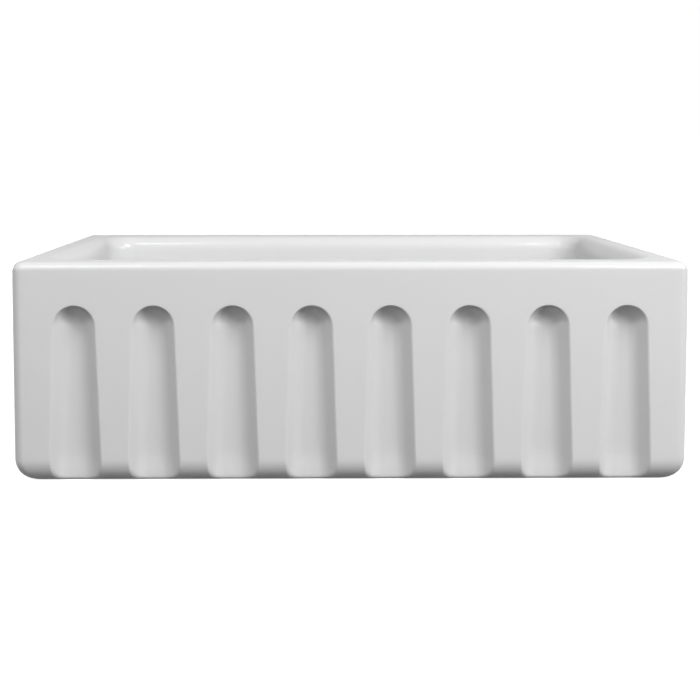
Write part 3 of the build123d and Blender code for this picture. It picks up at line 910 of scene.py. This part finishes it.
@dataclass
class Basket:
    """Pressed cup with holes in its floor and slots in its wall.

    The sheet follows a middle line (radius, height). A point of it is the middle line's point at
    a way along it, plus a share of the thickness along the line's normal, turned round the axis.
    The gaps, which triangles close, lie before the rings of holes, beside them and beside the
    slots.
    """

    sheet: float = 1.0
    hole_r: float = 2.5
    rings: int = 3
    hole_pitch: float = 10.5
    first_way: float = 3.06
    last_way: float = 26.5
    slots: int = 12
    slot_width: float = 3.0
    slot_height: float = 14.0
    slot_z: float = -6.0
    slot_margin: float = 2.2
    gaps: Triple = (0.25, 0.2, 0.3)
    ease: float = 0.14
    columns: int = 144
    skin: Skin = field(default_factory=lambda: Skin("basket_sheet"))

    def __post_init__(self) -> None:
        """Rounds the middle line and measures the way along it."""
        self.line = rounded(
            [(4.99, -17.5, 0.0), (32.6, -17.5, 3.0), (36.1, 6.5, 2.4), (40.2, 6.5, 0.0)], 8
        )
        lengths = np.linalg.norm(np.diff(self.line, axis=0), axis=1)
        self.way = np.concatenate([[0.0], np.cumsum(lengths)])
        run = np.gradient(self.line, self.way, axis=0)
        run /= np.linalg.norm(run, axis=1)[:, None]
        self.normal = np.stack([run[:, 1], -run[:, 0]], -1)

    def place(self, turn: Array, way: Array, side: Array) -> Array:
        """Points of the sheet.

        Args:
            turn: Angle round the axis.
            way: Way along the middle line.
            side: From -1, the inner face, to 1, the outer face.

        Returns:
            The points.
        """
        turn, way, side = np.broadcast_arrays(turn, way, side)
        radius, height = (
            np.interp(way, self.way, self.line[:, part])
            + np.interp(way, self.way, self.normal[:, part]) * side * self.sheet / 2
            for part in (0, 1)
        )
        return turned(radius, height, turn)

    def faces(self, ways: Array, turn: Array) -> tuple[Array, Array]:
        """Grids of the outer and the inner face, by ways along the middle line and angles."""
        return self.place(turn, ways[:, None], 1.0), self.place(turn, ways[:, None], -1.0)

    def pierced(self, low: float, high: float, count: int, half: Pair) -> tuple[Array, Array]:
        """Adds a band of cells with one hole in each.

        A cell's grid runs from its border on the outer face in to the hole, through the sheet and
        back to the border on the inner face. The hole is round, or a slot with round ends whose
        centre line is the excess of its half height over its half width. A column starts at (p, q)
        on the border, where both run from -1 to 1.

        Args:
            low: Way at which the band starts.
            high: Way at which it ends.
            count: Holes round the axis.
            half: Half width and half height of a hole.

        Returns:
            The rings at its start and end, on the outer and on the inner face.
        """
        each, flat = 8, 0.75
        run, one = steps(-1.0, 1.0, each)[:-1], np.ones(each)
        p = np.concatenate([run, one, -run, -one])
        q = np.concatenate([-one, run, one, -run])
        slot, reach, bend = half[1] - half[0], 0.0, np.arctan2(q, p)
        if slot > 0.1:
            reach = np.clip(np.abs(q) / flat, 0.0, 1.0) * np.sign(q)
            sharp = np.clip((np.abs(q) - flat) / (1.0 - flat), 0.0, 1.0) * np.sign(q) * np.pi / 4
            flank = np.where(p > 0, sharp, np.pi - sharp)
            bend = np.where(np.abs(p) == 1.0, flank, bend)
        # Rows by (share of the border, widening of the hole, side of the sheet).
        rows = [(1.0, 0.0, 1.0), (0.4, self.ease, 1.0), (0.0, self.ease, 1.0)]
        rows += [(0.0, 0.04, 0.86), (0.0, 0.0, 0.6)]
        rows += [(share, wide, -side) for share, wide, side in rows[::-1]]
        share, wide, side = (np.array(part)[:, None] for part in zip(*rows))
        middle, tall = (low + high) / 2, (high - low) / 2
        radius = float(np.interp(middle, self.way, self.line[:, 0]))
        hole_u = (half[0] + wide) * np.cos(bend) / radius
        hole_v = slot * reach + (half[0] + wide) * np.sin(bend)
        sector = 2.0 * np.pi / count
        for index in range(count):
            turn = index * sector + share * p * sector / 2 + (1 - share) * hole_u
            way = middle + share * q * tall + (1 - share) * hole_v
            self.skin.add(self.place(turn, way, side), closed=True)
        return self.faces(np.array([low, high]), around(count * each) - sector / 2)

    def build(self) -> Object:
        """Builds the cup: the floor's rings of holes, the bend, the wall's slots and the flange.

        Returns:
            The piece.
        """
        turn = around(self.columns)
        before, beside, wide = self.gaps
        width = (self.last_way - self.first_way) / self.rings
        bands = [self.faces(steps(0.0, self.first_way - before, 2), turn)]
        outer, inner = bands[0]
        self.skin.add(np.concatenate([inner[::-1], outer]), closed=True)
        for index in range(self.rings):
            middle = self.first_way + (index + 0.5) * width
            low, high = middle - width / 2 + beside, middle + width / 2 - beside
            count = int(2 * math.pi * (middle + self.line[0, 0]) / self.hole_pitch)
            bands.append(self.pierced(low, high, count, (self.hole_r, self.hole_r)))
        centre = float(np.interp(self.slot_z, self.line[8:-9, 1], self.way[8:-9]))
        low = centre - self.slot_height / 2 - self.slot_margin
        high = centre + self.slot_height / 2 + self.slot_margin
        bands.append(self.faces(steps(self.last_way + beside, low - wide, 14), turn))
        for face in bands[-1]:
            self.skin.add(face, closed=True)
        half = (self.slot_width / 2, self.slot_height / 2)
        bands.append(self.pierced(low, high, self.slots, half))
        end = self.way[-1] - self.sheet / 2
        bands.append(self.faces(steps(high + wide, end, 16), turn))
        outer, inner = bands[-1]
        # The sheet's last edge is a half circle.
        bend = np.radians(steps(90.0, -90.0, 8))[1:-1, None]
        fold = self.place(turn, end + self.sheet / 2 * np.cos(bend), np.sin(bend))
        self.skin.add(np.concatenate([outer, fold, inner[::-1]]), closed=True)
        for band, following in zip(bands, bands[1:]):
            for last, first in zip(band, following):
                self.skin.zip(last[-1], first[0])
        return self.skin.build(Body.BASKET, "pressed_steel", "basket_cup")


# ---------------------------------------------------------------- finishes
def wire(tree: Tree, node: Node, sockets: dict) -> None:
    """Links or sets a node's inputs.

    Args:
        tree: Node tree.
        node: The node.
        sockets: Values, or output sockets to link, by input name or number.
    """
    for name, value in sockets.items():
        if isinstance(value, Socket):
            tree.links.new(value, node.inputs[name])
        else:
            node.inputs[name].default_value = value


def put(tree: Tree, kind: str, sockets: dict | None = None, **settings: object) -> Node:
    """Adds a node, sets its options and joins or sets its inputs.

    Args:
        tree: Node tree.
        kind: Node type, without its "ShaderNode" beginning.
        sockets: Values, or output sockets to link, by input name or number.
        settings: Options of the node.

    Returns:
        The node.
    """
    node = tree.nodes.new("ShaderNode" + kind)
    for name, value in settings.items():
        setattr(node, name, value)
    wire(tree, node, sockets or {})
    return node


def math_node(tree: Tree, operation: str, *values: object) -> Socket:
    """Result of a Math node on up to three values or sockets."""
    return put(tree, "Math", dict(enumerate(values)), operation=operation).outputs[0]


def noise(tree: Tree, where: Socket, scale: object, detail: float, rough: float = 0.5) -> Socket:
    """Noise over a place, as a value."""
    sockets = {"Vector": where, "Scale": scale, "Detail": detail, "Roughness": rough}
    return put(tree, "TexNoise", sockets).outputs[0]


def mix(tree: Tree, share: object, low: object, high: object) -> Socket:
    """Mix of two values by a share."""
    return put(tree, "Mix", {0: share, 2: low, 3: high}).outputs[0]


def mix_colours(tree: Tree, share: object, low: object, high: object) -> Socket:
    """Mix of two colours, or colour sockets, by a share."""
    low, high = ((*part, 1.0) if isinstance(part, tuple) else part for part in (low, high))
    return put(tree, "Mix", {0: share, 6: low, 7: high}, data_type="RGBA").outputs[2]


def ramp(tree: Tree, value: Socket, source: Pair, target: Pair, **settings: object) -> Socket:
    """Value carried over from the source range to the target range, and held at its ends."""
    return put(tree, "MapRange", dict(enumerate((value, *source, *target))), **settings).outputs[0]


def object_place(tree: Tree) -> Socket:
    """Place on the object, in its own coordinates."""
    return put(tree, "TexCoord").outputs["Object"]


def new_material(name: str) -> tuple[Material, Tree]:
    """Starts a material with nodes.

    Args:
        name: Name of the material.

    Returns:
        The material and its node tree.
    """
    made = bpy.data.materials.new(name)
    made.use_nodes = True
    return made, made.node_tree


# Range of a pattern's values over which a finish goes from low to high.
MIDDLE = (0.3, 0.7)


class Effect(Enum):
    """Patterns that the finishes share, by the name of their node group.

    MOTTLE is cloudy noise with fine noise on top. LATHE is fine rings round the upright axis:
    noise over radius and height, hardly over the turn. DRAWN is streaks along the height, as
    drawing and plating leave them. The share Grit takes a pattern over to its spots.
    """

    MOTTLE = "mottle"
    LATHE = "lathe_rings"
    DRAWN = "drawn_streaks"

    def group(self) -> Tree:
        """Node group of the pattern, made at its first use.

        Returns:
            The group, with inputs Position, Scale and Grit and output Value.
        """
        if self.value in bpy.data.node_groups:
            return bpy.data.node_groups[self.value]
        made = bpy.data.node_groups.new(self.value, "ShaderNodeTree")
        for label, kind in (("Position", "Vector"), ("Scale", "Float"), ("Grit", "Float")):
            made.interface.new_socket(name=label, in_out="INPUT", socket_type="NodeSocket" + kind)
        made.interface.new_socket(name="Value", in_out="OUTPUT", socket_type="NodeSocketFloat")
        where, scale, grit = made.nodes.new("NodeGroupInput").outputs[:3]
        if self is Effect.MOTTLE:
            pattern = noise(made, where, scale, 4.0, 0.55)
            spot_scale = math_node(made, "MULTIPLY", scale, 7.0)
        elif self is Effect.LATHE:
            x, y, z = put(made, "SeparateXYZ", {0: where}).outputs[:3]
            square = math_node(made, "MULTIPLY_ADD", x, x, math_node(made, "MULTIPLY", y, y))
            turn = math_node(made, "MULTIPLY", math_node(made, "ARCTAN2", y, x), 0.0004)
            ringed = {"X": math_node(made, "SQRT", square), "Y": turn, "Z": z}
            pattern = noise(made, put(made, "CombineXYZ", ringed).outputs[0], scale, 3.0)
            spot_scale = 45.0
        else:
            flat = put(made, "Mapping", {"Vector": where, "Scale": (1.0, 1.0, 0.06)}).outputs[0]
            pattern = noise(made, flat, scale, 3.0)
            spot_scale = 60.0
        mixed = mix(made, grit, pattern, noise(made, where, spot_scale, 3.0))
        made.links.new(mixed, made.nodes.new("NodeGroupOutput").inputs["Value"])
        return made

    def put(self, tree: Tree, scale: float, grit: float) -> Socket:
        """Value of the pattern on the object that has the material.

        Args:
            tree: The material's node tree.
            scale: Scale of the pattern.
            grit: Share of the spots.

        Returns:
            The socket.
        """
        sockets = {"Position": object_place(tree), "Scale": scale, "Grit": grit}
        return put(tree, "Group", sockets, node_tree=self.group()).outputs["Value"]


@dataclass(frozen=True)
class Finish:
    """Surface whose colour, roughness and relief follow one pattern.

    Roughness and colour run between their low and high values over the pattern's middle range.
    """

    name: str
    effect: Effect
    scale: float
    low: Colour
    high: Colour
    roughness: Pair
    metallic: float = 0.0
    relief: float = 0.1
    depth: float = 0.00005
    grit: float = 0.3

    def material(self) -> Material:
        """Makes the material.

        Returns:
            The material.
        """
        made, tree = new_material(self.name)
        value = self.effect.put(tree, self.scale, self.grit)
        share = ramp(tree, value, MIDDLE, (0.0, 1.0))
        bump = put(tree, "Bump", {"Height": value, "Strength": self.relief, "Distance": self.depth})
        wire(tree, tree.nodes["Principled BSDF"], {
            "Base Color": mix_colours(tree, share, self.low, self.high),
            "Roughness": ramp(tree, value, MIDDLE, self.roughness),
            "Normal": bump.outputs[0],
            "Metallic": self.metallic,
        })
        return made


FINISHES = {
    "putty": Finish(
        "plumber_putty", Effect.MOTTLE, 240.0, (0.50, 0.46, 0.38), (0.64, 0.60, 0.51), (0.6, 0.85),
        relief=0.6, depth=0.0003, grit=0.4),
    "polished_steel": Finish(
        "polished_steel", Effect.LATHE, 1400.0, (0.58, 0.59, 0.60), (0.70, 0.71, 0.72),
        (0.10, 0.22), metallic=1.0, relief=0.12, depth=0.00002, grit=0.25),
    "pressed_steel": Finish(
        "brushed_steel", Effect.LATHE, 900.0, (0.50, 0.51, 0.52), (0.66, 0.67, 0.68), (0.20, 0.36),
        metallic=1.0, relief=0.2, depth=0.00003, grit=0.3),
    "brass_chrome": Finish(
        "chrome_plate", Effect.DRAWN, 300.0, (0.66, 0.68, 0.70), (0.76, 0.77, 0.78), (0.05, 0.12),
        metallic=1.0, relief=0.04, depth=0.00002, grit=0.6),
    "spring_steel": Finish(
        "spring_wire", Effect.DRAWN, 900.0, (0.36, 0.37, 0.38), (0.50, 0.50, 0.51), (0.25, 0.40),
        metallic=1.0),
    "black_rubber": Finish(
        "black_rubber", Effect.MOTTLE, 160.0, (0.018, 0.018, 0.019), (0.038, 0.038, 0.040),
        (0.50, 0.72), relief=0.25, depth=0.0001, grit=0.55),
    "fibre": Finish(
        "pressed_fibre", Effect.MOTTLE, 500.0, (0.24, 0.10, 0.07), (0.38, 0.19, 0.13), (0.70, 0.90),
        relief=0.5, depth=0.0001, grit=0.6),
    "cast_zinc": Finish(
        "cast_zinc", Effect.MOTTLE, 320.0, (0.38, 0.39, 0.40), (0.54, 0.55, 0.56), (0.38, 0.58),
        metallic=0.9, relief=0.45, depth=0.00012, grit=0.5),
    "zinc_screw": Finish(
        "zinc_plate", Effect.DRAWN, 700.0, (0.55, 0.54, 0.48), (0.66, 0.65, 0.60), (0.22, 0.36),
        metallic=1.0, relief=0.1),
    "white_plastic": Finish(
        "white_nylon", Effect.MOTTLE, 120.0, (0.72, 0.72, 0.70), (0.80, 0.80, 0.79), (0.35, 0.5),
        relief=0.1),
}


@dataclass(frozen=True)
class Glaze:
    """White gloss glaze over fireclay; the underside is left bare.

    A pattern is (scale, grit). The coat is the share of the clear top layer seen straight on.
    """

    name: str = "fireclay_glaze"
    low: Colour = (0.665, 0.665, 0.668)
    high: Colour = (0.69, 0.69, 0.69)
    roughness: Pair = (0.44, 0.54)
    clouds: Pair = (9.0, 0.12)
    clay_low: Colour = (0.50, 0.46, 0.39)
    clay_high: Colour = (0.60, 0.56, 0.49)
    clay_roughness: float = 0.85
    grains: Pair = (420.0, 0.5)
    coat: float = 0.45
    coat_power: float = 4.0
    coat_roughness: float = 0.08
    coat_ior: float = 1.6
    ripple: float = 38.0
    relief: float = 0.35
    depth: float = 0.0003

    def material(self) -> Material:
        """Makes the material.

        The glaze has faint clouds and slow ripples, under a clear top layer that thins out by a
        power of the facing value towards grazing angles. The attribute bare takes it over to
        unglazed clay.

        Returns:
            The material.
        """
        made, tree = new_material(self.name)
        bare = put(tree, "Attribute", attribute_name="bare").outputs["Fac"]
        cloud, grain = (Effect.MOTTLE.put(tree, *pattern) for pattern in (self.clouds, self.grains))
        glaze = mix_colours(tree, cloud, self.low, self.high)
        clay = mix_colours(tree, grain, self.clay_low, self.clay_high)
        gloss = ramp(tree, cloud, MIDDLE, self.roughness)
        glazed = math_node(tree, "MULTIPLY_ADD", bare, -self.coat, self.coat)
        facing = put(tree, "LayerWeight").outputs["Facing"]
        grazing = math_node(tree, "POWER", facing, self.coat_power)
        thinned = math_node(tree, "SUBTRACT", 1.0, grazing)
        pocks = mix(tree, bare, noise(tree, object_place(tree), self.ripple, 1.0), grain)
        bump = put(tree, "Bump", {"Height": pocks, "Strength": self.relief, "Distance": self.depth})
        wire(tree, tree.nodes["Principled BSDF"], {
            "Base Color": mix_colours(tree, bare, glaze, clay),
            "Roughness": mix(tree, bare, gloss, self.clay_roughness),
            "Normal": bump.outputs[0],
            "Specular IOR Level": 0.0,
            "Coat Weight": math_node(tree, "MULTIPLY", glazed, thinned),
            "Coat Roughness": self.coat_roughness,
            "Coat IOR": self.coat_ior,
        })
        return made


# ---------------------------------------------------------------- studio
# Point that the lamps face, and how far from it they stand, in metres.
AIM = Vector((0.0, 0.0, 0.12))
LAMP_REACH = 3.0
WHITE = (1.0, 1.0, 1.0, 1.0)


@dataclass(frozen=True)
class Lamp:
    """Soft box that faces the sink: degrees round from the front and up, metres and watts."""

    name: str
    azimuth: float
    rise: float
    size: Pair
    power: float

    def build(self) -> None:
        """Adds the lamp."""
        turn, up = math.radians(self.azimuth), math.radians(self.rise)
        way = Vector((math.sin(turn) * math.cos(up), -math.cos(turn) * math.cos(up), math.sin(up)))
        data = bpy.data.lights.new(self.name, "AREA")
        data.shape = "RECTANGLE"
        data.size, data.size_y = self.size
        data.energy = self.power
        lamp = bpy.data.objects.new(self.name, data)
        lamp.location = AIM + LAMP_REACH * way
        lamp.rotation_euler = (AIM - lamp.location).to_track_quat("-Z", "Y").to_euler()
        bpy.context.scene.collection.objects.link(lamp)


@dataclass
class Studio:
    """Camera, lamps, world and floor, in metres and degrees."""

    lens: float = 60.31
    place: Triple = (-0.0389, -1.5299, 0.3686)
    pitch: float = 3.70
    yaw: float = 0.54
    shift: Pair = (0.0324, -0.1698)
    ambient: float = 0.03
    ceiling: float = 0.15
    eye_level: Pair = (0.16, 0.30)
    glow: float = 0.9
    glow_reach: Pair = (0.5, 2.2)
    floor_radii: tuple[float, ...] = (0.075, 0.15, 0.4, 1.0, 3.0, 12.0, 60.0)
    floor_columns: int = 96
    lamps: tuple[Lamp, ...] = (
        Lamp("key", 36.0, 41.0, (1.0, 1.0), 60.0),
        Lamp("left", -35.0, 50.0, (1.2, 1.2), 30.0),
        Lamp("low", -35.0, 25.0, (1.2, 1.2), 12.0),
        Lamp("side", -80.0, 30.0, (1.2, 1.2), 10.0),
        Lamp("right", 60.0, 25.0, (1.2, 1.2), 28.0),
        Lamp("back_left", -135.0, 4.0, (1.6, 0.4), 42.0),
        Lamp("back_right", 135.0, 4.0, (1.6, 0.4), 42.0),
    )

    def camera(self) -> None:
        """Makes the camera: pitched a little, with the rest of the rise kept as lens shift."""
        data = bpy.data.cameras.new("camera")
        data.sensor_width = 36.0
        data.lens = self.lens
        data.shift_x, data.shift_y = self.shift
        data.clip_start, data.clip_end = 0.05, 60.0
        camera = bpy.data.objects.new("camera", data)
        camera.location = self.place
        turn = math.radians(90.0 - self.pitch), 0.0, math.radians(-self.yaw)
        camera.rotation_euler = Euler(turn)
        bpy.context.scene.collection.objects.link(camera)
        bpy.context.scene.camera = camera

    def build(self) -> None:
        """Makes the whole studio."""
        self.camera()
        for lamp in self.lamps:
            lamp.build()
        self.world()
        self.floor()
        bpy.context.scene.view_settings.view_transform = "Standard"

    @staticmethod
    def by_ray(tree: Tree, kind: str, light: Node, shown: Node) -> None:
        """Ends a tree in one shader for light and another for rays that show the background.

        The latter are camera, glossy and transmission rays.

        Args:
            tree: Node tree.
            kind: Type of the output node.
            light: Shader for the other rays.
            shown: Shader for the rays that show it.
        """
        path = put(tree, "LightPath").outputs
        seen = math_node(tree, "MAXIMUM", path["Is Camera Ray"], path["Is Glossy Ray"])
        seen = math_node(tree, "MAXIMUM", seen, path["Is Transmission Ray"])
        both = put(tree, "MixShader", {0: seen, 1: light.outputs[0], 2: shown.outputs[0]})
        put(tree, kind, {"Surface": both.outputs[0]})

    def world(self) -> None:
        """Makes the world: a white backdrop to a little over eye level, a dim studio above it."""
        world = bpy.data.worlds.new("studio")
        world.use_nodes = True
        bpy.context.scene.world = world
        tree = world.node_tree
        tree.nodes.clear()
        way = put(tree, "TexCoord").outputs["Generated"]
        height = put(tree, "SeparateXYZ", {0: way}).outputs["Z"]
        ends = 1.0, self.ceiling
        tone = ramp(tree, height, self.eye_level, ends, interpolation_type="SMOOTHSTEP")
        light = put(tree, "Background", {"Color": WHITE, "Strength": self.ambient})
        white = put(tree, "Background", {"Color": WHITE, "Strength": tone})
        self.by_ray(tree, "OutputWorld", light, white)

    def floor(self) -> None:
        """Makes the floor, level with the underside, with an opening for the waste below the sink.

        It is white, with the object's shadow, where it is seen.
        """
        radius = np.array(self.floor_radii)[:, None]
        grid = turned(radius, np.zeros_like(radius), around(self.floor_columns))
        index = np.arange(grid.shape[0] * grid.shape[1]).reshape(grid.shape[:2])
        beside = np.roll(index, -1, axis=1)
        quads = np.stack([index[:-1], index[1:], beside[1:], beside[:-1]], axis=-1).reshape(-1, 4)
        mesh = bpy.data.meshes.new("floor")
        mesh.from_pydata(grid.reshape(-1, 3), [], quads.tolist())
        floor = bpy.data.objects.new("floor", mesh)
        bpy.context.scene.collection.objects.link(floor)
        made, tree = new_material("floor")
        tree.nodes.clear()
        dim = put(tree, "BsdfDiffuse", {"Color": (0.1, 0.1, 0.1, 1.0)})
        pale = put(tree, "BsdfDiffuse", {"Color": (0.5, 0.5, 0.5, 1.0)})
        away = put(tree, "VectorMath", {0: object_place(tree)}, operation="LENGTH").outputs["Value"]
        bright = ramp(tree, away, self.glow_reach, (self.glow, 1.0))
        glow = put(tree, "Emission", {"Color": WHITE, "Strength": bright})
        lit = put(tree, "AddShader", {0: pale.outputs[0], 1: glow.outputs[0]})
        self.by_ray(tree, "OutputMaterial", dim, lit)
        mesh.materials.append(made)


# CAD nodes that stay, with their slots.
KEPT = {"clamp_screws": "zinc_screw", "detent_ring": "spring_steel", "stem_nut": "polished_steel"}


def dress(pieces: list[Object]) -> None:
    """Gives every new piece and every CAD node that stays its slot's finish.

    Args:
        pieces: The new pieces.
    """
    made = {slot: finish.material() for slot, finish in FINISHES.items()}
    made["fireclay"] = Glaze().material()
    for piece in pieces:
        piece.data.materials.append(made[piece["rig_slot"]])
    for name, slot in KEPT.items():
        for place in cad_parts[name].material_slots:
            place.material = made[slot]


def main() -> None:
    """Builds the pieces and the studio."""
    logging.basicConfig(level=logging.INFO, format="%(message)s")
    Studio().build()
    pieces = [ClayBody().build(), *Strainer().build(), Basket().build()]
    pieces += [turning.build() for turning in TURNINGS]
    dress(pieces)
    for piece in pieces:
        LOG.info("%s: %d faces", piece.name, len(piece.data.polygons))


if __name__ == "__main__":
    main()
